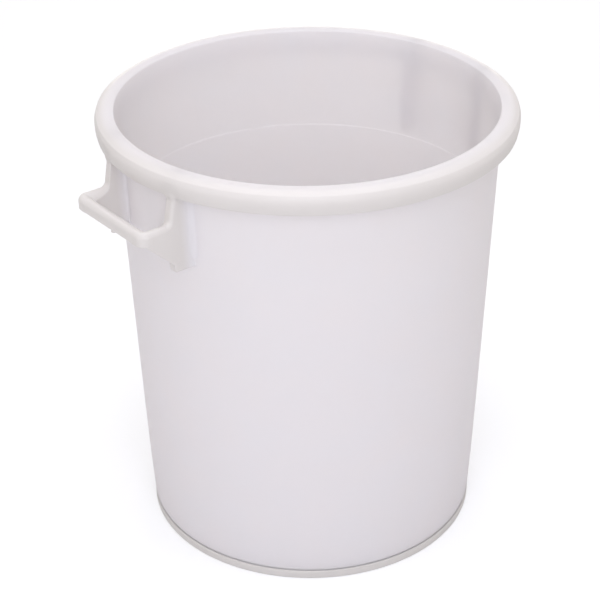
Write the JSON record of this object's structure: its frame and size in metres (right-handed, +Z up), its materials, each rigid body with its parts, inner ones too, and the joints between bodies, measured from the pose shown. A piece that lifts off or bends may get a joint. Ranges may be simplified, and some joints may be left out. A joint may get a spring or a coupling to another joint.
{
  "type": "dough proofing container",
  "caption": "Tall round tapered tub, open at the top, with a wide turned-down rim and fixed loop handles on both sides, for letting dough rise.",
  "frame": {"origin": "middle of the foot ring's underside, on the floor", "axes": "+Z up along the tub's axis; the two handles lie along -X and +X"},
  "size_m": [0.493, 0.435, 0.476],
  "materials": {
    "natural_polyethylene": "injection moulded natural polyethylene, milky and slightly translucent, satin"
  },
  "bodies": {
    "root": {"tub_wall": "natural_polyethylene", "tub_floor": "natural_polyethylene", "foot_ring": "natural_polyethylene", "rim_crown": "natural_polyethylene", "rim_skirt": "natural_polyethylene", "left_front_bracket": "natural_polyethylene", "left_rear_bracket": "natural_polyethylene", "left_grip": "natural_polyethylene", "right_front_bracket": "natural_polyethylene", "right_rear_bracket": "natural_polyethylene", "right_grip": "natural_polyethylene"}
  },
  "joints": []
}
